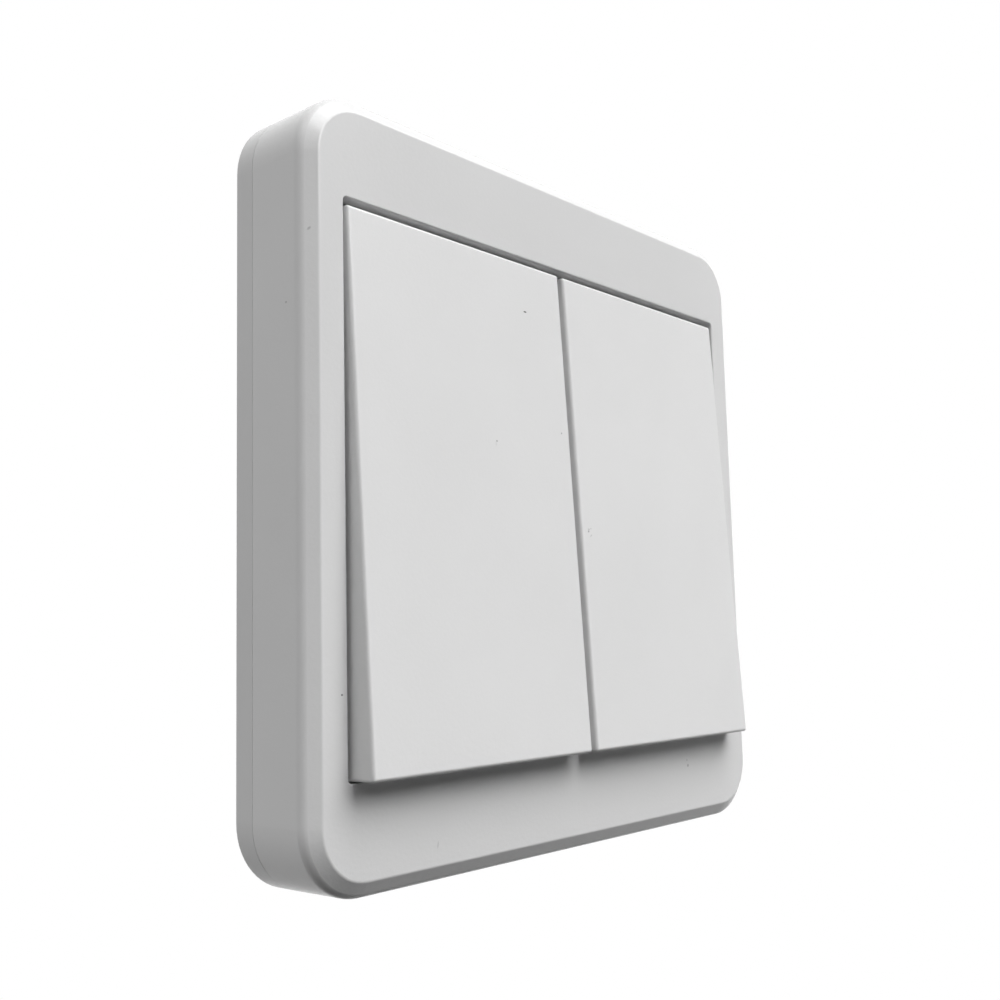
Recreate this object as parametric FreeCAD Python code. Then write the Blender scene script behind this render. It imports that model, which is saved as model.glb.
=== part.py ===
import FreeCAD, Part
import os
from math import atan2, cos, hypot, pi, sin, tan

# Two-gang wireless wall switch, in millimetres.
# The pieces are modelled lying on the back: X to the right, Y up the wall, Z out of the wall.
# Each finished piece is then stood up, so that the exported frame has Z up and the wall at Y = 0.
# The origin is the centre of the back face.

# Panel and front frame
panel = 86.0                  # width and height of the square panel
panel_depth = 12.0            # wall to the front face of the frame
corner_radius = 7.8           # outer corners, seen from the front
frame_wall = 2.0              # side walls
frame_front = 2.0             # front wall
bevel_inset = 1.8             # sloped edge round the front, width seen from the front
bevel_depth = 1.2             # the same slope, measured along the depth
bevel_front_round = 0.5       # edge between slope and front face
bevel_side_round = 1.2        # edge between slope and side
guide_thickness = 1.2         # ribs behind the opening's left and right edges
guide_depth = 2.5

# Base plate
base_floor = 2.0
rim_height = 3.0              # the rim shows below the seam
seam_gap = 0.05
rear_edge = 0.3               # chamfer round the back
lip_thickness = 1.2           # lip that the frame slides over
lip_rise = 2.0                # lip above the rim
lap_clearance = 0.15
snap_width = 8.0
snap_rise = 4.0               # snap tongue above the rim
snap_barb = 0.6
snap_barb_height = 1.2
snap_spacing = 40.0           # between the two tongues on a side
snap_relief = 0.8             # slots beside each tongue
notch_width = 8.0             # opening notch in the lower rim
notch_height = 0.9
notch_reach = 1.4

# Wall screws
screw_spacing = 60.0
screw_slot_width = 4.2
screw_slot_length = 8.0

# Opening and keys
aperture_width = 75.5
aperture_height = 62.3
aperture_corner = 0.5
aperture_edge = 0.1           # chamfer round the opening
key_gap = 1.0                 # between the two keys
key_side_gap = 0.5
key_top_gap = 0.75
key_bottom_gap = 0.2
key_proud = 3.2               # lower edge above the frame's front; the top edge is flush
key_panel = 1.8               # thickness of the pressed face
key_skirt = 1.5               # side walls of the key
key_skirt_depth = 4.0         # lower rim of the key behind the frame's front face
key_edge_round = 0.4

# Key hinge
pivot_rise = 3.0              # pin axis above the key's top edge
pin_radius = 1.0
pin_length = 1.3
pin_clearance = 0.05
ear_thickness = 2.0
ear_wall = 0.6                # ear round the pin
ear_gap = 0.4                 # ear to the back of the frame
bearing_width = 3.0
bearing_wall = 1.1
bearing_side_gap = 0.2
bearing_grip = 0.15           # the snap-in slot is this much narrower than the pin, on each side

# Catch hooks at the lower edge of each key
hook_spacing = 20.0
hook_width = 6.0
hook_reach = 3.0
hook_thickness = 1.5
hook_gap = 0.1                # to the back of the frame at rest

# Presser and ribs under each key
lever = 16.0                  # pin axis to the switch plunger
presser_drop = 0.75           # below the key's underside
presser_width = 5.0
presser_radius = 1.0
press_gap = 0.05
stiffener_spacing = 8.0
stiffener_thickness = 1.0
stiffener_drop = 0.6

# Push switches
switch_side = 6.0
switch_body_height = 3.2
switch_floor = 1.2
switch_cover_thickness = 0.3
switch_tab_width = 2.2        # cover tabs folded down over two sides
switch_tab_drop = 2.0
switch_fit = 0.02
plunger_height = 4.3          # top of the plunger above the board
plunger_radius = 1.75
plunger_travel = 0.30
plunger_clearance = 0.06
plunger_flange_step = 0.35
plunger_flange_gap = 0.05     # below the cover
chamber_clearance = 0.1       # round the plunger's flange
dome_clearance = 0.15         # to the dome's corners
dome_crown = 1.4              # side of the flat crown
dome_height = 0.45
dome_thickness = 0.12
dome_gap = 0.05               # left under the pressed plunger
terminal_pitch = 4.5
terminal_width = 0.7
terminal_thickness = 0.3
terminal_standoff = 0.25      # leg outside the switch body
terminal_depth = 0.5          # length inside the switch body
terminal_level = 0.6
terminal_tail = 0.4           # below the board
hole_clearance = 0.15         # board holes round legs, straps and screws

# Circuit board, placed about the switches and the cell
board_side_margin = 1.4       # beyond the outer switch legs
board_top_margin = 8.6        # above the switches' centre line
board_end_margin = 2.9        # below the cell's window
board_thickness = 1.6
board_corner = 1.0

# Board screws on one diagonal, plain posts on the other
board_screw_side = 3.0        # in from the side edges
board_screw_end = 2.9         # in from the top and bottom edges
board_screw_radius = 0.9
board_screw_head_radius = 1.8
board_screw_head_height = 1.2
board_screw_head_edge = 0.5
board_screw_clearance = 0.05
boss_radius = 2.3
boss_skin = 0.8               # floor left under the pilot hole
boss_tip_gap = 0.3
post_radius = 1.6

# Battery
battery_radius = 4.0
battery_length = 28.2         # over the positive button
battery_offset = 6.8          # axis from the left switch towards the middle
battery_edge = 0.5
battery_button_radius = 2.2
battery_button_length = 0.8
battery_floor_gap = 0.05
cradle_spacing = 16.0
cradle_thickness = 2.0
cradle_margin = 0.8           # cradle wider than the cell, on each side
cradle_depth = 1.5            # cradle top below the cell's axis
cradle_clearance = 0.05
window_margin = 1.4           # board window wider than the cell, on each side
window_end = 3.0              # board window longer than the cell, at each end

# Battery contacts
contact_width = 5.0
contact_thickness = 0.3
contact_bend = 0.5
contact_foot = 3.0
contact_rise = 3.4            # top of the leaf above the board
contact_shoulder = 1.2
contact_tail = 1.8            # leaf below the cell's axis
contact_gap = 0.05

# Small components on the board: distance to the right of the middle, and below the switches
chip_x = 12.0
chip_drop = 31.0
chip_length = 4.9
chip_width = 3.9
chip_height = 1.4
chip_standoff = 0.15
chip_lead_count = 4           # on each side
chip_lead_pitch = 1.27
chip_lead_width = 0.4
chip_lead_reach = 1.05
lead_thickness = 0.2
resonator_x = 13.0
resonator_drop = 17.0
resonator_length = 5.0
resonator_width = 3.5
resonator_height = 1.2
lid_inset = 0.4
lid_thickness = 0.2
transistor_x = 5.5
transistor_drop = 11.4
transistor_length = 2.9
transistor_width = 1.3
transistor_height = 0.95
transistor_lead_pitch = 0.95
transistor_lead_reach = 0.55
antenna_span = 24.0
antenna_inset = 3.4           # in from the board's top edge
antenna_rise = 1.2
antenna_width = 1.2
antenna_thickness = 0.4
antenna_bend = 0.6
antenna_tail = 0.4
passive_length = 2.0
passive_width = 1.25
resistor_height = 0.5
capacitor_height = 0.85
passive_pitch = 3.2
resistor_count = 4
resistor_x = 5.0
resistor_drop = 33.0
capacitor_count = 3
capacitor_x = 19.0
capacitor_drop = 21.0
passive_edge = 0.1

# Two levels closer than this count as one when edges are picked
same = 1e-6

# Levels above the wall, and edges in the plane of the wall
half = panel / 2
frame_rear = panel_depth - frame_front
frame_low = rim_height + seam_gap
lip_outer = half - frame_wall - lap_clearance
lip_inner = lip_outer - lip_thickness
key_top = aperture_height / 2 - key_top_gap
key_bottom = -aperture_height / 2 + key_bottom_gap
key_outer = -aperture_width / 2 + key_side_gap
key_inner = -key_gap / 2
key_rim = panel_depth - key_skirt_depth
key_center = (key_outer + key_inner) / 2
key_slope = key_proud / (key_top - key_bottom)
ear_radius = pin_radius + ear_wall
pivot_y = key_top + pivot_rise
pivot_level = frame_rear - ear_gap - ear_radius
switch_y = pivot_y - lever
flange_radius = plunger_radius + plunger_flange_step
chamber_radius = flange_radius + chamber_clearance


def key_face(y):
    return panel_depth + (key_top - y) * key_slope


key_under_offset = key_panel * hypot(1, key_slope)
presser_level = key_face(switch_y) - key_under_offset - presser_drop
plunger_top = presser_level - press_gap
board_face = plunger_top - plunger_height
board_level = board_face - board_thickness
battery_level = base_floor + battery_floor_gap + battery_radius
battery_x = key_center + battery_offset
battery_y = (key_bottom + key_skirt + switch_y - switch_side / 2) / 2
window_half_width = battery_radius + window_margin
window_half_length = battery_length / 2 + window_end
leg_reach = switch_side / 2 + terminal_standoff
board_side = -key_center + leg_reach + board_side_margin
board_top = switch_y + board_top_margin
board_bottom = battery_y - window_half_length - board_end_margin
support_x = board_side - board_screw_side
support_low = board_bottom + board_screw_end
support_high = board_top - board_screw_end
board_screw_places = ((-support_x, support_high), (support_x, support_low))
board_post_places = ((-support_x, support_low), (support_x, support_high))
antenna_y = board_top - antenna_inset


def vec(x, y, z):
    return FreeCAD.Vector(x, y, z)


def box(x0, x1, y0, y1, z0, z1):
    return Part.makeBox(x1 - x0, y1 - y0, z1 - z0, vec(x0, y0, z0))


def disc(radius, x, y, z0, z1):
    return Part.makeCylinder(radius, z1 - z0, vec(x, y, z0))


def rod_along_x(radius, x0, x1, y, z):
    return Part.makeCylinder(radius, x1 - x0, vec(x0, y, z), vec(1, 0, 0))


def rounded_outline(width, height, radius, z):
    a = width / 2
    b = height / 2
    k = radius * (1 - cos(pi / 4))
    edges = []
    for sx, sy in ((1, 1), (-1, 1), (-1, -1), (1, -1)):
        start = vec(sx * a, sy * (b - radius), z)
        middle = vec(sx * (a - k), sy * (b - k), z)
        end = vec(sx * (a - radius), sy * b, z)
        if sx * sy < 0:
            start, end = end, start
        edges.append(Part.Arc(start, middle, end).toShape())
    sides = []
    for i, arc in enumerate(edges):
        following = edges[(i + 1) % 4]
        sides.append(arc)
        sides.append(Part.makeLine(arc.lastVertex().Point, following.firstVertex().Point))
    return Part.Wire(sides)


def rounded_plate(width, height, radius, z0, z1):
    return Part.Face(rounded_outline(width, height, radius, z0)).extrude(vec(0, 0, z1 - z0))


def profile_along_x(points, x0, x1):
    corners = [vec(x0, y, z) for y, z in points]
    outline = Part.makePolygon(corners + corners[:1])
    return Part.Face(outline).extrude(vec(x1 - x0, 0, 0))


def revolved(points, x, y):
    corners = [vec(r, 0, z) for r, z in points]
    solid = Part.Face(Part.makePolygon(corners + corners[:1])).revolve(vec(0, 0, 0), vec(0, 0, 1), 360)
    solid.translate(vec(x, y, 0))
    return solid


def bent_strip(points, bend, thickness, width):
    # A strip of constant thickness bent along a line in the YZ plane, centred on X = 0.
    # Both faces are built from one centre line: straight runs, and arcs about the same bend centres.
    sides = {1: [], -1: []}
    count = len(points)
    for i, (y, z) in enumerate(points):
        before = points[i - 1] if i > 0 else None
        after = points[i + 1] if i < count - 1 else None
        if before is None or after is None:
            a, b = (points[i], after) if before is None else (before, points[i])
            run = atan2(b[1] - a[1], b[0] - a[0])
            for s in sides:
                ny = -sin(run) * s * thickness / 2
                nz = cos(run) * s * thickness / 2
                sides[s].append(("point", (y + ny, z + nz)))
            continue
        run_in = atan2(z - before[1], y - before[0])
        run_out = atan2(after[1] - z, after[0] - y)
        turn = (run_out - run_in + pi) % (2 * pi) - pi
        inward = 1 if turn > 0 else -1
        radius = bend + thickness / 2
        reach = radius * tan(abs(turn) / 2)
        cy = y - reach * cos(run_in) - inward * radius * sin(run_in)
        cz = z - reach * sin(run_in) + inward * radius * cos(run_in)
        for s in sides:
            r = radius - inward * s * thickness / 2
            arc = []
            for share in (0.0, 0.5, 1.0):
                angle = run_in + turn * share - inward * pi / 2
                arc.append((cy + r * cos(angle), cz + r * sin(angle)))
            sides[s].append(("arc", arc))
    edges = []

    def walk(items):
        last = None
        for kind, data in items:
            entry = data if kind == "point" else data[0]
            if last is not None:
                edges.append(Part.makeLine(vec(0, *last), vec(0, *entry)))
            if kind == "arc":
                edges.append(Part.Arc(*[vec(0, *p) for p in data]).toShape())
            last = data if kind == "point" else data[2]
        return last

    left_end = walk(sides[1])
    right = [(k, d if k == "point" else d[::-1]) for k, d in reversed(sides[-1])]
    edges.append(Part.makeLine(vec(0, *left_end), vec(0, *right[0][1])))
    right_end = walk(right)
    edges.append(Part.makeLine(vec(0, *right_end), vec(0, *sides[1][0][1])))
    strip = Part.Face(Part.Wire(Part.__sortEdges__(edges))).extrude(vec(width, 0, 0))
    strip.translate(vec(-width / 2, 0, 0))
    return strip


def at(shape, x, y, z=0.0, turn=0.0):
    placed = shape.copy()
    placed.rotate(vec(0, 0, 0), vec(0, 0, 1), turn)
    placed.translate(vec(x, y, z))
    return placed


def mirrored(shape):
    return shape.mirror(vec(0, 0, 0), vec(1, 0, 0))


def edges_at_level(shape, level):
    found = []
    for edge in shape.Edges:
        bounds = edge.BoundBox
        if abs(bounds.ZMin - level) < same and abs(bounds.ZMax - level) < same:
            found.append(edge)
    return found


def front_frame():
    shoulder = panel_depth - bevel_depth
    inset = 2 * bevel_inset
    sides = rounded_plate(panel, panel, corner_radius, frame_low, shoulder)
    slope = Part.makeLoft([
        rounded_outline(panel, panel, corner_radius, shoulder),
        rounded_outline(panel - inset, panel - inset, corner_radius - bevel_inset, panel_depth),
    ], True, True)
    frame = sides.fuse(slope).removeSplitter()
    frame = frame.makeFillet(bevel_front_round, edges_at_level(frame, panel_depth))
    frame = frame.makeFillet(bevel_side_round, edges_at_level(frame, shoulder))

    inner = panel - 2 * frame_wall
    frame = frame.cut(rounded_plate(inner, inner, corner_radius - frame_wall, frame_low, frame_rear))
    opening = rounded_plate(aperture_width, aperture_height, aperture_corner, frame_rear, panel_depth)
    frame = frame.cut(opening)
    rim = []
    for edge in edges_at_level(frame, panel_depth):
        middle = edge.CenterOfMass
        if abs(middle.x) <= aperture_width / 2 and abs(middle.y) <= aperture_height / 2:
            rim.append(edge)
    frame = frame.makeChamfer(aperture_edge, rim)

    # Guide ribs beside the keys, and the bearings that the key pins snap into from behind.
    guide_half = aperture_height / 2
    guide_x = aperture_width / 2
    added = []
    for side in (-1, 1):
        near, far = sorted((side * guide_x, side * (guide_x + guide_thickness)))
        added.append(box(near, far, -guide_half, guide_half, frame_rear - guide_depth, frame_rear))
    bearing_low = pivot_level - pin_radius - bearing_wall
    bearing_half = pin_radius + pin_clearance + bearing_wall
    for x in (-guide_x + bearing_width / 2, 0.0, guide_x - bearing_width / 2):
        x0 = x - bearing_width / 2
        x1 = x + bearing_width / 2
        bearing = box(x0, x1, pivot_y - bearing_half, pivot_y + bearing_half, bearing_low, frame_rear)
        bearing = bearing.cut(rod_along_x(pin_radius + pin_clearance, x0, x1, pivot_y, pivot_level))
        mouth = pin_radius - bearing_grip
        bearing = bearing.cut(box(x0, x1, pivot_y - mouth, pivot_y + mouth, bearing_low, pivot_level))
        added.append(bearing)
    frame = frame.fuse(added).removeSplitter()

    # Pockets in the side walls for the base's snap barbs.
    pocket_half = snap_width / 2 + lap_clearance
    pocket_depth = snap_barb + lap_clearance
    pocket_top = rim_height + snap_rise + lap_clearance
    pocket_low = rim_height + snap_rise - snap_barb_height - lap_clearance
    for side in (-1, 1):
        face = side * inner / 2
        near, far = sorted((face, side * (inner / 2 + pocket_depth - lap_clearance)))
        for y in (-snap_spacing / 2, snap_spacing / 2):
            frame = frame.cut(box(near, far, y - pocket_half, y + pocket_half, pocket_low, pocket_top))
    return frame


def base_plate():
    plate = rounded_plate(panel, panel, corner_radius, 0, rim_height)
    plate = plate.makeChamfer(rear_edge, edges_at_level(plate, 0))
    lip_size = 2 * lip_outer
    lip_radius = corner_radius - frame_wall - lap_clearance
    plate = plate.fuse(rounded_plate(lip_size, lip_size, lip_radius, rim_height, rim_height + lip_rise))
    tray = 2 * lip_inner
    tray_radius = lip_radius - lip_thickness
    plate = plate.cut(rounded_plate(tray, tray, tray_radius, base_floor, rim_height + lip_rise))

    # Snap tongues: taller stretches of the lip with a sloped barb, freed by a slot on each side.
    tongue_top = rim_height + snap_rise
    barb_low = tongue_top - snap_barb_height
    barb = [
        (lip_inner, base_floor),
        (lip_outer, base_floor),
        (lip_outer, barb_low),
        (lip_outer + snap_barb, barb_low),
        (lip_outer, tongue_top),
        (lip_inner, tongue_top),
    ]
    tongue = at(profile_along_x(barb, -snap_width / 2, snap_width / 2), 0, 0, 0, -90)
    added = []
    for y in (-snap_spacing / 2, snap_spacing / 2):
        for side in (-1, 1):
            near, far = sorted((side * lip_inner, side * lip_outer))
            for end in (-1, 1):
                start = y + end * snap_width / 2
                low, high = sorted((start, start + end * snap_relief))
                plate = plate.cut(box(near, far, low, high, base_floor, rim_height + lip_rise))
        added.append(at(tongue, 0, y))
        added.append(at(mirrored(tongue), 0, y))

    # Bosses and posts under the board, and cradles for the cell.
    for x, y in board_screw_places:
        added.append(disc(boss_radius, x, y, base_floor, board_level))
    for x, y in board_post_places:
        added.append(disc(post_radius, x, y, base_floor, board_level))
    cradle_half = battery_radius + cradle_margin
    for y in (battery_y - cradle_spacing / 2, battery_y + cradle_spacing / 2):
        y0 = y - cradle_thickness / 2
        cradle = box(battery_x - cradle_half, battery_x + cradle_half, y0, y0 + cradle_thickness,
                     base_floor, battery_level - cradle_depth)
        seat = Part.makeCylinder(battery_radius + cradle_clearance, cradle_thickness,
                                 vec(battery_x, y0, battery_level), vec(0, 1, 0))
        added.append(cradle.cut(seat))
    plate = plate.fuse(added).removeSplitter()

    cuts = [disc(board_screw_radius + board_screw_clearance, x, y, boss_skin, board_level)
            for x, y in board_screw_places]
    for x in (-screw_spacing / 2, screw_spacing / 2):
        reach = (screw_slot_length - screw_slot_width) / 2
        cuts.append(box(x - reach, x + reach, -screw_slot_width / 2, screw_slot_width / 2, 0, base_floor))
        for end in (-reach, reach):
            cuts.append(disc(screw_slot_width / 2, x + end, 0, 0, base_floor))
    cuts.append(box(-notch_width / 2, notch_width / 2, -half, -half + notch_reach,
                    rim_height - notch_height, rim_height))
    return plate.cut(cuts)


def left_key():
    # The side view carries the slope and the two rounded front edges; both ends are then rounded over.
    corners = [
        (key_bottom, key_rim),
        (key_bottom, key_face(key_bottom)),
        (key_top, key_face(key_top)),
        (key_top, key_rim),
    ]
    body = profile_along_x(corners, key_outer, key_inner)
    for y in (key_bottom, key_top):
        middle = vec(key_center, y, key_face(y))
        edge = [e for e in body.Edges if e.CenterOfMass.isEqual(middle, same)]
        body = body.makeFillet(key_edge_round, edge)
    outline = [e for e in body.Edges if e.BoundBox.XLength < same and e.BoundBox.ZMax > key_rim + same]
    body = body.makeFillet(key_edge_round, outline)

    under = key_under_offset
    hollow = [
        (key_bottom + key_skirt, key_rim),
        (key_bottom + key_skirt, key_face(key_bottom + key_skirt) - under),
        (key_top - key_skirt, key_face(key_top - key_skirt) - under),
        (key_top - key_skirt, key_rim),
    ]
    body = body.cut(profile_along_x(hollow, key_outer + key_skirt, key_inner - key_skirt))

    # Ears with stub pins, at both ends of the top wall.
    added = []
    bearing_out = -aperture_width / 2 + bearing_width
    bearing_in = -bearing_width / 2
    ears = (
        (bearing_out + bearing_side_gap, bearing_out + bearing_side_gap + ear_thickness, -1),
        (bearing_in - bearing_side_gap - ear_thickness, bearing_in - bearing_side_gap, 1),
    )
    for x0, x1, way in ears:
        root = key_top - key_skirt
        arm = box(x0, x1, root, pivot_y, pivot_level - ear_radius, pivot_level + ear_radius)
        added.append(arm)
        added.append(rod_along_x(ear_radius, x0, x1, pivot_y, pivot_level))
        start = x1 if way > 0 else x0 - pin_length
        added.append(rod_along_x(pin_radius, start, start + pin_length, pivot_y, pivot_level))

    # Catch hooks behind the frame's lower margin.
    hook_face = frame_rear - hook_gap
    for shift in (-hook_spacing / 2, hook_spacing / 2):
        x0 = key_center + shift - hook_width / 2
        added.append(box(x0, x0 + hook_width, key_bottom - hook_reach, key_bottom + key_skirt,
                         hook_face - hook_thickness, hook_face))

    # Presser over the switch, with two stiffening ribs running up to the top wall.
    half_width = presser_width / 2
    backing = key_face(switch_y) - key_panel / 2
    added.append(rod_along_x(presser_radius, key_center - half_width, key_center + half_width,
                             switch_y, presser_level + presser_radius))
    added.append(box(key_center - half_width, key_center + half_width, switch_y - presser_radius,
                     switch_y + presser_radius, presser_level + presser_radius, backing))
    rib_end = key_top - key_skirt / 2
    rib = [
        (switch_y, key_face(switch_y) - under - stiffener_drop),
        (switch_y, backing),
        (rib_end, key_face(rib_end) - key_panel / 2),
        (rib_end, key_face(rib_end) - under - stiffener_drop),
    ]
    for shift in (-stiffener_spacing / 2, stiffener_spacing / 2):
        x0 = key_center + shift - stiffener_thickness / 2
        added.append(profile_along_x(rib, x0, x0 + stiffener_thickness))
    return body.fuse(added).removeSplitter()


def circuit_board():
    board = rounded_plate(2 * board_side, board_top - board_bottom, board_corner, board_level, board_face)
    board.translate(vec(0, (board_top + board_bottom) / 2, 0))
    cuts = [box(battery_x - window_half_width, battery_x + window_half_width,
                battery_y - window_half_length, battery_y + window_half_length, board_level, board_face)]
    for x, y in board_screw_places:
        cuts.append(disc(board_screw_radius + hole_clearance, x, y, board_level, board_face))

    def slot(x, y, size_x, size_y):
        a = size_x / 2 + hole_clearance
        b = size_y / 2 + hole_clearance
        cuts.append(box(x - a, x + a, y - b, y + b, board_level, board_face))

    for sx in (-1, 1):
        for leg in (-leg_reach, leg_reach):
            for y in (-terminal_pitch / 2, terminal_pitch / 2):
                slot(sx * key_center + leg, switch_y + y, terminal_thickness, terminal_width)
        slot(sx * antenna_span / 2, antenna_y, antenna_thickness, antenna_width)
    return board.cut(cuts)


def board_screws():
    screws = []
    tip = boss_skin + boss_tip_gap
    top = board_face + board_screw_head_height
    outline = [
        (0, tip),
        (board_screw_radius, tip),
        (board_screw_radius, board_face),
        (board_screw_head_radius, board_face),
        (board_screw_head_radius, top - board_screw_head_edge),
        (board_screw_head_radius - board_screw_head_edge, top),
        (0, top),
    ]
    for x, y in board_screw_places:
        screws.append(revolved(outline, x, y))
    return Part.makeCompound(screws)


def battery():
    low = -battery_length / 2
    shoulder = battery_length / 2 - battery_button_length
    outline = [
        (0, low),
        (battery_radius - battery_edge, low),
        (battery_radius, low + battery_edge),
        (battery_radius, shoulder - battery_edge),
        (battery_radius - battery_edge, shoulder),
        (battery_button_radius, shoulder),
        (battery_button_radius, battery_length / 2),
        (0, battery_length / 2),
    ]
    cell = revolved(outline, 0, 0)
    cell.rotate(vec(0, 0, 0), vec(1, 0, 0), -90)
    cell.translate(vec(battery_x, battery_y, battery_level))
    return cell


def battery_contact(end):
    # Soldered foot, riser, shoulder and a sprung leaf that leans on the end of the cell.
    face = battery_length / 2 + contact_gap + contact_thickness / 2
    riser = window_half_length + contact_bend
    top = board_face + contact_rise
    line = [
        (riser + contact_foot, board_face + contact_thickness / 2),
        (riser, board_face + contact_thickness / 2),
        (riser, top),
        (riser - contact_shoulder, top),
        (face, battery_level),
        (face + contact_shoulder / 2, battery_level - contact_tail),
    ]
    leaf = bent_strip(line, contact_bend, contact_thickness, contact_width)
    return at(leaf, battery_x, battery_y, 0, 0 if end > 0 else 180)


def square_taper(low_side, high_side, z0, z1):
    # Two tapered ridges crossed at a right angle leave the four-sided form.
    a = low_side / 2
    b = high_side / 2
    ridge = profile_along_x([(-a, z0), (a, z0), (b, z1), (-b, z1)], -a, a)
    return ridge.common(at(ridge, 0, 0, 0, 90))


def switch_base():
    side = switch_side / 2
    body = box(-side, side, -side, side, 0, switch_body_height)
    cuts = [disc(chamber_radius, 0, 0, switch_floor, switch_body_height)]

    # Shallow seats for the cover's tabs, and slots for the legs.
    tab = switch_tab_width / 2 + switch_fit
    tab_depth = switch_cover_thickness + switch_fit
    tab_low = switch_body_height - switch_tab_drop - switch_fit
    grip = terminal_width / 2 + switch_fit
    low = terminal_level - terminal_thickness / 2 - switch_fit
    high = terminal_level + terminal_thickness / 2 + switch_fit
    for way in (-1, 1):
        y0, y1 = sorted((way * side, way * (side - tab_depth)))
        cuts.append(box(-tab, tab, y0, y1, tab_low, switch_body_height))
        x0, x1 = sorted((way * side, way * (side - terminal_depth - switch_fit)))
        for y in (-terminal_pitch / 2, terminal_pitch / 2):
            cuts.append(box(x0, x1, y - grip, y + grip, low, high))
    return body.cut(cuts)


def switch_cover():
    side = switch_side / 2
    low = switch_body_height
    high = low + switch_cover_thickness
    tab = switch_tab_width / 2
    cover = box(-side, side, -side, side, low, high)
    for way in (-1, 1):
        y0, y1 = sorted((way * side, way * (side - switch_cover_thickness)))
        cover = cover.fuse(box(-tab, tab, y0, y1, low - switch_tab_drop, low))
    return cover.cut(disc(plunger_radius + plunger_clearance, 0, 0, low, high)).removeSplitter()


def switch_plunger():
    flange_top = switch_body_height - plunger_flange_gap
    flange_low = switch_floor + dome_height + plunger_travel + dome_gap
    outline = [
        (0, flange_low),
        (flange_radius, flange_low),
        (flange_radius, flange_top),
        (plunger_radius, flange_top),
        (plunger_radius, plunger_height),
        (0, plunger_height),
    ]
    return revolved(outline, 0, 0)


def switch_dome():
    # Thin four-sided snap dome on the floor of the chamber: sloped sides and a flat crown.
    foot = (chamber_radius - dome_clearance) * 2 ** 0.5
    top = switch_floor + dome_height
    outer = square_taper(foot, dome_crown, switch_floor, top)
    return outer.cut(square_taper(foot - 4 * dome_thickness, dome_crown - 2 * dome_thickness,
                                  switch_floor, top - dome_thickness))


def folded_leg(points, width):
    # Flat strip folded along its length; the points run round its edge in the YZ plane.
    return profile_along_x(points, -width / 2, width / 2)


def switch_terminals():
    inner = switch_side / 2 - terminal_depth
    t = terminal_thickness / 2
    end = -board_thickness - terminal_tail
    leg = folded_leg([
        (inner, terminal_level - t),
        (leg_reach - t, terminal_level - t),
        (leg_reach - t, end),
        (leg_reach + t, end),
        (leg_reach + t, terminal_level + t),
        (inner, terminal_level + t),
    ], terminal_width)
    legs = []
    for turn in (-90, 90):
        for y in (-terminal_pitch / 2, terminal_pitch / 2):
            legs.append(at(leg, 0, y, 0, turn))
    return Part.makeCompound(legs)


def gull_lead(root_level, reach):
    # Straight out of the body, sloping down, then flat on the board.
    t = lead_thickness / 2
    shoulder = reach / 3
    heel = reach / 2
    return folded_leg([
        (0, root_level - t),
        (shoulder - t, root_level - t),
        (heel - t, 0),
        (reach, 0),
        (reach, 2 * t),
        (heel + t, 2 * t),
        (shoulder + t, root_level + t),
        (0, root_level + t),
    ], chip_lead_width)


def chip_body(x, drop, width, length, height):
    y = switch_y - drop
    low = board_face + chip_standoff
    top = low + height
    body = box(x - width / 2, x + width / 2, y - length / 2, y + length / 2, low, top)
    return body.makeChamfer(chip_standoff, edges_at_level(body, top))


def encoder_chip():
    return chip_body(chip_x, chip_drop, chip_width, chip_length, chip_height)


def encoder_leads():
    lead = gull_lead(chip_standoff + chip_height / 2, chip_lead_reach)
    leads = []
    first = switch_y - chip_drop - (chip_lead_count - 1) * chip_lead_pitch / 2
    for i in range(chip_lead_count):
        y = first + i * chip_lead_pitch
        leads.append(at(lead, chip_x + chip_width / 2, y, board_face, -90))
        leads.append(at(lead, chip_x - chip_width / 2, y, board_face, 90))
    return Part.makeCompound(leads)


def radio_transistor():
    return chip_body(transistor_x, transistor_drop, transistor_width, transistor_length, transistor_height)


def transistor_leads():
    lead = gull_lead(chip_standoff + transistor_height / 2, transistor_lead_reach)
    y = switch_y - transistor_drop
    leads = [at(lead, transistor_x - transistor_width / 2, y, board_face, 90)]
    for shift in (-transistor_lead_pitch, transistor_lead_pitch):
        leads.append(at(lead, transistor_x + transistor_width / 2, y + shift, board_face, -90))
    return Part.makeCompound(leads)


def resonator_plate(inset, z0, z1):
    x = resonator_length / 2 - inset
    y = resonator_width / 2 - inset
    plate = box(-x, x, -y, y, z0, z1)
    return at(plate, resonator_x, switch_y - resonator_drop, board_face)


def antenna_strap():
    # Low bridge of flat strap: two legs through the board, joined by rounded bends.
    t = antenna_thickness / 2
    low = board_level - antenna_tail
    top = board_face + antenna_rise
    a = antenna_span / 2
    strap = bent_strip([(-a, low), (-a, top), (a, top), (a, low)], antenna_bend - t, 2 * t, antenna_width)
    return at(strap, 0, antenna_y, 0, -90)


def passive_row(x, drop, count, height):
    row = []
    for i in range(count):
        x0 = x - passive_length / 2
        y0 = switch_y - drop + i * passive_pitch - passive_width / 2
        body = box(x0, x0 + passive_length, y0, y0 + passive_width, board_face, board_face + height)
        row.append(body.makeChamfer(passive_edge, edges_at_level(body, board_face + height)))
    return Part.makeCompound(row)


os.makedirs("parts", exist_ok=True)

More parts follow.
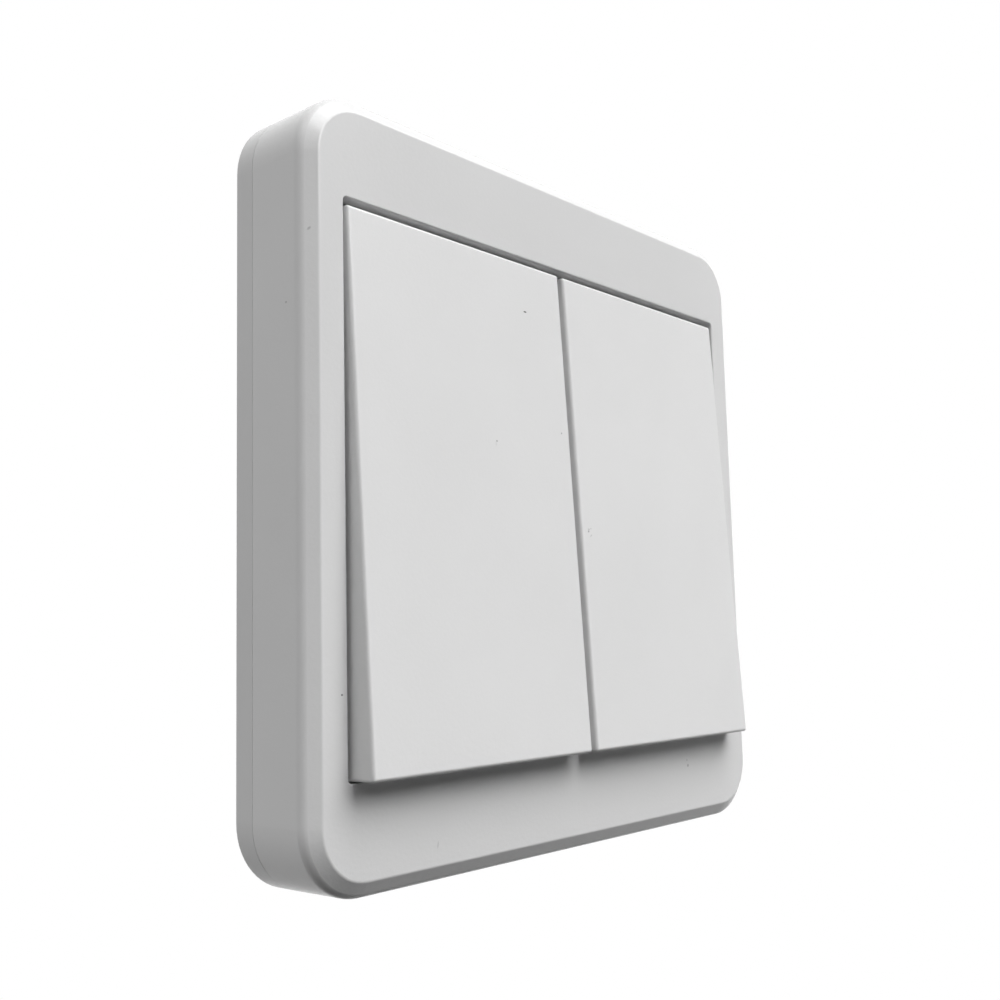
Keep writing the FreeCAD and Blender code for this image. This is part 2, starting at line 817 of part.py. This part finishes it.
key = left_key()
nodes = {
    "front_frame": front_frame(),
    "base_plate": base_plate(),
    "left_key": key,
    "right_key": mirrored(key),
    "circuit_board": circuit_board(),
    "board_screws": board_screws(),
    "battery": battery(),
    "positive_contact": battery_contact(1),
    "negative_contact": battery_contact(-1),
    "encoder_chip": encoder_chip(),
    "encoder_leads": encoder_leads(),
    "resonator": resonator_plate(0, 0, resonator_height),
    "resonator_lid": resonator_plate(lid_inset, resonator_height, resonator_height + lid_thickness),
    "radio_transistor": radio_transistor(),
    "transistor_leads": transistor_leads(),
    "antenna_strap": antenna_strap(),
    "chip_resistors": passive_row(resistor_x, resistor_drop, resistor_count, resistor_height),
    "chip_capacitors": passive_row(capacitor_x, capacitor_drop, capacitor_count, capacitor_height),
}
switch_pieces = {
    "body": switch_base(),
    "cover": switch_cover(),
    "plunger": switch_plunger(),
    "dome": switch_dome(),
    "terminals": switch_terminals(),
}
for side, x in (("left", key_center), ("right", -key_center)):
    for piece, shape in switch_pieces.items():
        nodes[side + "_switch_" + piece] = at(shape, x, switch_y, board_face)

for name, shape in nodes.items():
    shape.rotate(vec(0, 0, 0), vec(1, 0, 0), 90)
    shape.exportStep("parts/" + name + ".step")
    print(name, "valid" if shape.isValid() else "NOT VALID", len(shape.Solids), round(shape.Volume, 3))
print("pin axis: Y %.3f, Z %.3f" % (-pivot_level, pivot_y))
print("key press angle, radians: %.5f" % (plunger_travel / lever))
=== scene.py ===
import bpy
import numpy as np
from mathutils import Matrix, Vector


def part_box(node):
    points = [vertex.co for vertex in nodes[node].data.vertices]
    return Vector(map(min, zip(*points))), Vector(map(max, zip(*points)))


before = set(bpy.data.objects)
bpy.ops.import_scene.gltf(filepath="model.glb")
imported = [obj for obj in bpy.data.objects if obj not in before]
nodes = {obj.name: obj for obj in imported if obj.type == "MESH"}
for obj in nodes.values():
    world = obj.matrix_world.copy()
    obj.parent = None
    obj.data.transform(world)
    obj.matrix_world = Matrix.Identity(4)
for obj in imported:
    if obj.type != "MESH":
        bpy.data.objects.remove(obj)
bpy.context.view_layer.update()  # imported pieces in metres: X right, Y into the wall, Z up
mm = 0.001


# Shared helpers for the materials

def linearColour(hexText):  # sRGB hex text to linear RGBA
    srgb = np.array([int(hexText[i:i + 2], 16) for i in (1, 3, 5)]) / 255
    linear = np.where(srgb <= 0.04045, srgb / 12.92, ((srgb + 0.055) / 1.055) ** 2.4)
    return (*linear.tolist(), 1.0)


def perMm(size):  # texture scale for a feature of this size in millimetres
    return 1 / (size * mm)


def addNode(tree, kind, values=None, links=None, **settings):  # one node with settings, values, links
    node = tree.nodes.new("ShaderNode" + kind)
    for name, value in settings.items():
        setattr(node, name, value)
    for socket, value in (values or {}).items():
        node.inputs[socket].default_value = value
    for socket, source in (links or {}).items():
        tree.links.new(source, node.inputs[socket])
    return node


mixIn = {"factor": 0, "first": 6, "second": 7}  # sockets of a colour mix
mixOut = 2
drift = {"toneSpan": (0.3, 0.7), "toneDetail": 3.0, "grainDetail": 2.0}  # noise used, and its octaves
markCore = 0.45  # share of a mark's radius that is at full strength


def bareMaterial(name):  # material with nothing in its tree yet
    material = bpy.data.materials.new(name)
    material.use_nodes = True
    material.node_tree.nodes.clear()
    return material, material.node_tree


def startMaterial(name):  # principled shader on the output, and the piece's own coordinates
    material, tree = bareMaterial(name)
    shader = addNode(tree, "BsdfPrincipled")
    addNode(tree, "OutputMaterial", links={"Surface": shader.outputs["BSDF"]})
    place = addNode(tree, "TexCoord").outputs["Object"]
    return material, tree, shader, place


def addFinish(tree, shader, place, look):
    # tone drifts between two colours, the gloss drifts with it, and a fine grain lifts the surface
    stretch = addNode(tree, "Mapping", values={"Scale": look.get("stretch", (1, 1, 1))},
                      links={"Vector": place})
    along = stretch.outputs["Vector"]
    tone = addNode(tree, "TexNoise", links={"Vector": along},
                   values={"Scale": perMm(look["toneMm"]), "Detail": drift["toneDetail"]})
    spread = addNode(tree, "MapRange", links={"Value": tone.outputs["Fac"]},
                     values={"From Min": drift["toneSpan"][0], "From Max": drift["toneSpan"][1]})
    amount = spread.outputs["Result"]
    colour = addNode(tree, "Mix", data_type="RGBA", links={mixIn["factor"]: amount},
                     values={mixIn["first"]: linearColour(look["dark"]),
                             mixIn["second"]: linearColour(look["light"])})
    gloss = addNode(tree, "MapRange", links={"Value": amount},
                    values={"To Min": look["rough"][0], "To Max": look["rough"][1]})
    grain = addNode(tree, "TexNoise", links={"Vector": along},
                    values={"Scale": perMm(look["grainMm"]), "Detail": drift["grainDetail"]})
    lift = addNode(tree, "Bump", links={"Height": grain.outputs["Fac"]},
                   values={"Strength": look["grain"], "Distance": look["grainMm"] * mm})
    tree.links.new(gloss.outputs["Result"], shader.inputs["Roughness"])
    tree.links.new(lift.outputs["Normal"], shader.inputs["Normal"])
    shader.inputs["Metallic"].default_value = look.get("metallic", 0.0)
    shader.inputs["IOR"].default_value = look.get("ior", 1.5)
    shader.inputs["Specular IOR Level"].default_value = look.get("specular", 0.5)
    return colour.outputs[mixOut]


def addMarks(tree, place, colour, marks):
    # each mark is a small ellipsoid on the surface: full strength inside, fading over its outer part
    for centre, radii, turn, shade, strength in marks:
        local = addNode(tree, "Mapping", vector_type="TEXTURE", links={"Vector": place},
                        values={"Location": Vector(centre) * mm, "Scale": Vector(radii) * mm,
                                "Rotation": (0, np.radians(turn), 0)})
        reach = addNode(tree, "VectorMath", operation="LENGTH", links={0: local.outputs["Vector"]})
        cover = addNode(tree, "MapRange", links={"Value": reach.outputs["Value"]},
                        values={"From Min": markCore, "From Max": 1.0, "To Min": strength, "To Max": 0.0})
        mixed = addNode(tree, "Mix", data_type="RGBA", values={mixIn["second"]: linearColour(shade)},
                        links={mixIn["factor"]: cover.outputs["Result"], mixIn["first"]: colour})
        colour = mixed.outputs[mixOut]
    return colour


def evenFinish(name, look):  # one material all over, with its marks if it has any
    material, tree, shader, place = startMaterial(name)
    colour = addFinish(tree, shader, place, look)
    colour = addMarks(tree, place, colour, look.get("marks", ()))
    tree.links.new(colour, shader.inputs["Base Color"])
    return material


def dress(names, material):  # gives CAD nodes this finish
    for name in names:
        nodes[name].data.materials.clear()
        nodes[name].data.materials.append(material)


# White moulded ABS: even and smooth, soft mould flow in the tone, edges that catch the light.
# The real grain is under 0.1 mm; it is drawn coarser so that it shows.

frameLook = {
    "dark": "#e9e9e9", "light": "#ececec", "toneMm": 22, "rough": (0.16, 0.21),
    "grainMm": 0.5, "grain": 0.03, "ior": 1.53, "specular": 0.3,
    "marks": (  # centre mm, radii mm, turn about the depth, colour, strength
        ((-38.56, -12.0, -22.1), (0.16, 0.3, 0.12), 0, "#4a4a4a", 0.9),
        ((25.69, -12.0, -34.26), (0.16, 0.3, 0.22), 0, "#8a8a8a", 0.35),
        ((25.9, -12.0, -35.03), (0.24, 0.3, 0.28), 20, "#868686", 0.5),
        ((-42.07, -11.42, 26.57), (0.15, 0.3, 0.34), 40, "#888888", 0.4),
        ((-43.0, -8.75, 18.95), (0.3, 0.16, 0.14), 0, "#7c7c7c", 0.5),
        ((-24.9, -12.0, -38.92), (0.12, 0.3, 0.5), 12, "#8a8a8a", 0.3),
    ),
}
dress(["front_frame"], evenFinish("mouldedAbsFrame", frameLook))

baseLook = {  # same plastic from its own mould, a little greyer
    "dark": "#e1e1e1", "light": "#e4e4e4", "toneMm": 22, "rough": (0.18, 0.23),
    "grainMm": 0.5, "grain": 0.03, "ior": 1.53, "specular": 0.3,
}
dress(["base_plate"], evenFinish("mouldedAbsBase", baseLook))

leftKeyLook = {  # a shade whiter than the frame, with a few dark specks
    "dark": "#efefef", "light": "#f2f2f2", "toneMm": 18, "rough": (0.16, 0.21),
    "grainMm": 0.45, "grain": 0.03, "ior": 1.53, "specular": 0.3,
    "marks": (
        ((-7.89, -12.33, 24.01), (0.36, 0.3, 0.13), 0, "#303030", 0.95),
        ((-14.89, -13.24, 6.68), (0.17, 0.3, 0.15), 0, "#777777", 0.6),
        ((-15.05, -13.25, 6.3), (0.2, 0.3, 0.3), 0, "#aaaaaa", 0.15),
        ((-2.17, -13.11, 9.09), (0.14, 0.3, 0.13), 0, "#6a6a6a", 0.7),
    ),
}
dress(["left_key"], evenFinish("mouldedAbsLeftKey", leftKeyLook))

rightKeyLook = dict(leftKeyLook)
rightKeyLook["marks"] = (  # one small scuff near the other key
    ((2.03, -13.75, -3.27), (0.17, 0.3, 0.17), 0, "#5a5a5a", 0.65),
    ((2.1, -13.74, -3.0), (0.26, 0.3, 0.1), 15, "#6e6e6e", 0.45),
    ((2.5, -13.78, -3.8), (0.3, 0.3, 0.1), -35, "#7a7a7a", 0.35),
    ((2.55, -13.74, -2.9), (0.14, 0.3, 0.1), 0, "#6e6e6e", 0.4),
)
dress(["right_key"], evenFinish("mouldedAbsRightKey", rightKeyLook))
print("shells dressed")


# Inside: each finish beside the pieces that wear it

bothSides = ["left_switch_", "right_switch_"]

zincLook = {  # zinc on steel: bright and faintly blue, with small mottling
    "dark": "#b9bcc0", "light": "#cdd0d3", "toneMm": 1.6, "rough": (0.28, 0.4),
    "grainMm": 0.12, "grain": 0.05, "metallic": 1.0,
}
dress(["board_screws"], evenFinish("zincPlatedSteel", zincLook))

nickelLook = {  # rolled nickel strip: warm grey, streaks across the leaf
    "dark": "#b3aea3", "light": "#cbc6ba", "toneMm": 3, "rough": (0.24, 0.36),
    "grainMm": 0.15, "grain": 0.04, "metallic": 1.0, "stretch": (4, 1, 1),
}
dress(["positive_contact", "negative_contact"], evenFinish("nickelSpringStrip", nickelLook))

tinLook = {  # matte tin plate: soft pale grey
    "dark": "#b4b4b0", "light": "#c9c9c6", "toneMm": 0.9, "rough": (0.36, 0.5),
    "grainMm": 0.1, "grain": 0.06, "metallic": 1.0,
}
dress(["encoder_leads", "transistor_leads"] + [side + "terminals" for side in bothSides],
      evenFinish("matteTin", tinLook))

steelLook = {  # stamped sheet steel: cool grey, rolling streaks up the sheet
    "dark": "#a5a7a8", "light": "#bcbec0", "toneMm": 2.2, "rough": (0.26, 0.38),
    "grainMm": 0.12, "grain": 0.05, "metallic": 1.0, "stretch": (1, 1, 5),
}
dress([side + piece for side in bothSides for piece in ("cover", "dome")],
      evenFinish("stampedSteel", steelLook))

copperLook = {  # bare copper strap: warm, drawn lengthwise
    "dark": "#b06a43", "light": "#cb8458", "toneMm": 2.5, "rough": (0.26, 0.4),
    "grainMm": 0.15, "grain": 0.05, "metallic": 1.0, "stretch": (0.4, 1, 1),
}
dress(["antenna_strap"], evenFinish("copperStrap", copperLook))

goldLook = {  # gold flash: pale yellow and fairly bright
    "dark": "#c2a15c", "light": "#d6b874", "toneMm": 2, "rough": (0.22, 0.34),
    "grainMm": 0.12, "grain": 0.04, "metallic": 1.0,
}
dress(["resonator_lid"], evenFinish("goldFlashedLid", goldLook))

epoxyLook = {  # moulded epoxy: dull black with a sandy grain
    "dark": "#1d1e1f", "light": "#27282a", "toneMm": 1.4, "rough": (0.5, 0.62),
    "grainMm": 0.08, "grain": 0.2,
}
dress(["encoder_chip", "radio_transistor"], evenFinish("blackEpoxy", epoxyLook))

firedLook = {  # fired ceramic: brownish black, slightly uneven
    "dark": "#3b3531", "light": "#49423d", "toneMm": 1.8, "rough": (0.42, 0.55),
    "grainMm": 0.1, "grain": 0.12,
}
dress(["resonator"], evenFinish("firedCeramic", firedLook))

switchLook = {  # glass-filled nylon: charcoal with a light haze
    "dark": "#202123", "light": "#2a2b2d", "toneMm": 3, "rough": (0.4, 0.5),
    "grainMm": 0.15, "grain": 0.1,
}
dress([side + "body" for side in bothSides], evenFinish("blackGlassFilledNylon", switchLook))

plungerLook = {  # acetal: black and smooth, slightly waxy
    "dark": "#181819", "light": "#212122", "toneMm": 2, "rough": (0.3, 0.38),
    "grainMm": 0.2, "grain": 0.05,
}
dress([side + "plunger" for side in bothSides], evenFinish("blackAcetal", plungerLook))

capBlendMm = 0.04  # width of the change from body to metal


def cappedFinish(name, node, look):
    # the middle takes the body's finish; past the reach along one axis it turns to bare metal
    material, tree, shader, place = startMaterial(name)
    colour = addFinish(tree, shader, place, look)
    low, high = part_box(node)
    axis = "XYZ".index(look["axis"])
    middle = (low[axis] + high[axis]) / 2
    parts = addNode(tree, "SeparateXYZ", links={0: place})
    off = addNode(tree, "Math", operation="SUBTRACT", values={1: middle},
                  links={0: parts.outputs[look["axis"]]})
    reach = addNode(tree, "Math", operation="ABSOLUTE", links={0: off.outputs["Value"]})
    inner = (high[axis] - low[axis]) / 2 - look["capMm"] * mm
    cap = addNode(tree, "MapRange", links={"Value": reach.outputs["Value"]},
                  values={"From Min": inner, "From Max": inner + capBlendMm * mm})
    both = addNode(tree, "Mix", data_type="RGBA", values={mixIn["second"]: linearColour(look["cap"])},
                   links={mixIn["factor"]: cap.outputs["Result"], mixIn["first"]: colour})
    tree.links.new(both.outputs[mixOut], shader.inputs["Base Color"])
    tree.links.new(cap.outputs["Result"], shader.inputs["Metallic"])
    return material


jacketLook = {  # shrink jacket left plain: slate grey film, nickel ends
    "dark": "#2b3036", "light": "#343a41", "toneMm": 6, "rough": (0.3, 0.42),
    "grainMm": 0.3, "grain": 0.03, "axis": "Z", "capMm": 1.6, "cap": "#c6c3ba",
}
dress(["battery"], cappedFinish("cellJacket", "battery", jacketLook))

resistorLook = {  # glazed chip: black glass with tinned ends
    "dark": "#222326", "light": "#2c2d31", "toneMm": 0.8, "rough": (0.25, 0.4),
    "grainMm": 0.08, "grain": 0.08, "axis": "X", "capMm": 0.35, "cap": "#c4c4c0",
}
dress(["chip_resistors"], cappedFinish("glazedResistor", "chip_resistors", resistorLook))

capacitorLook = {  # fired chip: tan ceramic with tinned ends
    "dark": "#a98f6a", "light": "#b89e78", "toneMm": 0.8, "rough": (0.4, 0.52),
    "grainMm": 0.08, "grain": 0.08, "axis": "X", "capMm": 0.35, "cap": "#c4c4c0",
}
dress(["chip_capacitors"], cappedFinish("firedCapacitor", "chip_capacitors", capacitorLook))

boardLook = {  # glass epoxy under green solder mask: tracks show as paler green lines
    "dark": "#1f5a3a", "light": "#256642", "toneMm": 14, "rough": (0.3, 0.42),
    "grainMm": 0.4, "grain": 0.04, "copper": "#3f8657",
    "runMm": 9.0, "rowMm": 2.2, "trackMm": 0.3, "blur": 0.1, "turn": -90,
}


def maskedBoard(name, look):
    # solder mask over copper: rows of long bricks, whose joints are the tracks under the mask
    material, tree, shader, place = startMaterial(name)
    colour = addFinish(tree, shader, place, look)
    flat = addNode(tree, "Mapping", values={"Rotation": (np.radians(look["turn"]), 0, 0)},
                   links={"Vector": place})
    tracks = addNode(tree, "TexBrick", links={"Vector": flat.outputs["Vector"]},
                     values={"Scale": perMm(1.0), "Brick Width": look["runMm"], "Row Height": look["rowMm"],
                             "Mortar Size": look["trackMm"] / 2, "Mortar Smooth": look["blur"]})
    both = addNode(tree, "Mix", data_type="RGBA", values={mixIn["second"]: linearColour(look["copper"])},
                   links={mixIn["factor"]: tracks.outputs["Fac"], mixIn["first"]: colour})
    tree.links.new(both.outputs[mixOut], shader.inputs["Base Color"])
    return material


dress(["circuit_board"], maskedBoard("glassEpoxyBoard", boardLook))
print("inside dressed")


# Studio: white surround for what is looked at, soft boxes for the light, and a pale floor well below

def seenRays(tree):  # 1 for camera, glossy and transmission rays, so metal and glass show the same white
    rays = addNode(tree, "LightPath")
    total = rays.outputs["Is Camera Ray"]
    for kind in ("Is Glossy Ray", "Is Transmission Ray"):
        joined = addNode(tree, "Math", operation="ADD", use_clamp=True,
                         links={0: total, 1: rays.outputs[kind]})
        total = joined.outputs["Value"]
    return total


surround = {"colour": "#ffffff", "ambient": 0.005, "white": 1.0}  # strength as light, and as background


def whiteSurround(look):
    world = bpy.data.worlds.new("studioSurround")
    world.use_nodes = True
    tree = world.node_tree
    tree.nodes.clear()
    colour = linearColour(look["colour"])
    dim = addNode(tree, "Background", values={"Color": colour, "Strength": look["ambient"]})
    bright = addNode(tree, "Background", values={"Color": colour, "Strength": look["white"]})
    either = addNode(tree, "MixShader", links={0: seenRays(tree), 1: dim.outputs["Background"],
                                               2: bright.outputs["Background"]})
    addNode(tree, "OutputWorld", links={"Surface": either.outputs["Shader"]})
    return world


bpy.context.scene.world = whiteSurround(surround)

boxDistance = 3.0  # metres from the part, the same for every soft box
softBoxes = {  # degrees right of the front and above the horizon, metres across, seen in reflections or not
    "keySoftBox": {"right": 24.5, "above": 52, "across": 3.1, "watts": 127, "mirrored": True},
    "glintSoftBox": {"right": 25, "above": 23, "across": 0.46, "watts": 5, "mirrored": True},
    "leftSoftBox": {"right": -52, "above": 42, "across": 2.0, "watts": 10.5, "mirrored": False},
    "sideSoftBox": {"right": -92, "above": 15, "across": 2.0, "watts": 13.5, "mirrored": False},
    "backSoftBox": {"right": -128, "above": 15, "across": 2.0, "watts": 19.5, "mirrored": False},
    "rearSoftBox": {"right": 180, "above": 0, "across": 1.2, "watts": 60, "mirrored": False},
}


def addSoftBox(name, box):  # round area lamp aimed at the middle of the part
    az, el = np.radians([box["right"], box["above"]])
    toLamp = Vector((np.sin(az) * np.cos(el), -np.cos(az) * np.cos(el), np.sin(el)))
    facing = toLamp.to_track_quat("Z", "Y").to_matrix().to_4x4()
    lamp = bpy.data.lights.new(name, "AREA")
    lamp.shape = "DISK"
    lamp.size = box["across"]
    lamp.energy = box["watts"]
    holder = bpy.data.objects.new(name, lamp)
    holder.matrix_world = Matrix.Translation(toLamp * boxDistance) @ facing
    holder.visible_camera = False
    holder.visible_glossy = box["mirrored"]
    bpy.context.scene.collection.objects.link(holder)


for boxName, box in softBoxes.items():
    addSoftBox(boxName, box)

floorLook = {"below": 0.3, "radius": 0.6, "fade": 0.35, "hub": 0.002,  # metres
             "rings": 24, "spokes": 96, "paint": "#f4f4f3", "light": "#ffffff", "glow": 0.6}


def paleFloor(look):
    # flat disc: radius and angle are the two parameters, the height is constant
    rings = look["rings"]
    spokes = look["spokes"]
    radius, angle = np.meshgrid(np.linspace(look["hub"], look["radius"], rings),
                                np.linspace(0, 2 * np.pi, spokes, endpoint=False), indexing="ij")
    height = np.full_like(radius, -look["below"])
    points = np.stack([radius * np.cos(angle), radius * np.sin(angle), height], axis=-1)
    ring, spoke = np.meshgrid(np.arange(rings - 1), np.arange(spokes), indexing="ij")
    following = (spoke + 1) % spokes
    inner = ring * spokes
    outer = (ring + 1) * spokes
    quads = np.stack([inner + spoke, outer + spoke, outer + following, inner + following], axis=-1)
    faces = quads.reshape(-1, 4).tolist() + [list(range(spokes))]
    mesh = bpy.data.meshes.new("paleFloor")
    mesh.from_pydata(points.reshape(-1, 3).tolist(), [], faces)
    floor = bpy.data.objects.new("paleFloor", mesh)
    bpy.context.scene.collection.objects.link(floor)
    floor.visible_diffuse = False  # the floor stays out of the light on the part
    return floor


def mattPaint(look):  # matt painted board: lit parts read as white, the shadow stays, the rim fades out
    material, tree = bareMaterial("mattPaintedBoard")
    matt = addNode(tree, "BsdfDiffuse", values={"Color": linearColour(look["paint"])})
    share = addNode(tree, "Math", operation="MULTIPLY", values={1: look["glow"]}, links={0: seenRays(tree)})
    glow = addNode(tree, "Emission", values={"Color": linearColour(look["light"]), "Strength": 1.0})
    lit = addNode(tree, "MixShader", links={0: share.outputs["Value"], 1: matt.outputs["BSDF"],
                                            2: glow.outputs["Emission"]})
    place = addNode(tree, "TexCoord").outputs["Object"]
    flat = addNode(tree, "Mapping", values={"Scale": (1, 1, 0)}, links={"Vector": place})
    out = addNode(tree, "VectorMath", operation="LENGTH", links={0: flat.outputs["Vector"]})
    edge = addNode(tree, "MapRange", links={"Value": out.outputs["Value"]},
                   values={"From Min": look["radius"] - look["fade"], "From Max": look["radius"]})
    clear = addNode(tree, "BsdfTransparent")
    faded = addNode(tree, "MixShader", links={0: edge.outputs["Result"], 1: lit.outputs["Shader"],
                                              2: clear.outputs["BSDF"]})
    addNode(tree, "OutputMaterial", links={"Surface": faded.outputs["Shader"]})
    return material


floor = paleFloor(floorLook)
floor.data.materials.append(mattPaint(floorLook))
print("studio set")


# Camera: low at the left of the part, looking slightly up

view = {"place": (-121.406, -105.902, -17.159),  # mm
        "yaw": 49.054, "pitch": 6.767, "roll": -1.404,  # degrees
        "lens": 43.212, "sensor": 36.0,  # mm
        "near": 0.01}  # metres


def aimCamera(look):
    yaw, pitch, roll = np.radians([look["yaw"], look["pitch"], look["roll"]])
    ahead = np.array([np.sin(yaw) * np.cos(pitch), np.cos(yaw) * np.cos(pitch), np.sin(pitch)])
    right = np.array([np.cos(yaw), -np.sin(yaw), 0.0])
    up = np.cross(right, ahead)
    turned = np.cos(roll) * right + np.sin(roll) * up
    upright = -np.sin(roll) * right + np.cos(roll) * up
    columns = np.stack([turned, upright, -ahead, np.array(look["place"]) * mm], axis=1)
    camera = bpy.data.cameras.new("camera")
    camera.sensor_width = look["sensor"]
    camera.lens = look["lens"]
    camera.clip_start = look["near"]
    holder = bpy.data.objects.new("camera", camera)
    holder.matrix_world = Matrix([*columns.tolist(), [0, 0, 0, 1]])
    bpy.context.scene.collection.objects.link(holder)
    return holder


bpy.context.scene.camera = aimCamera(view)
bpy.context.scene.view_settings.view_transform = "Standard"
print("camera aimed")
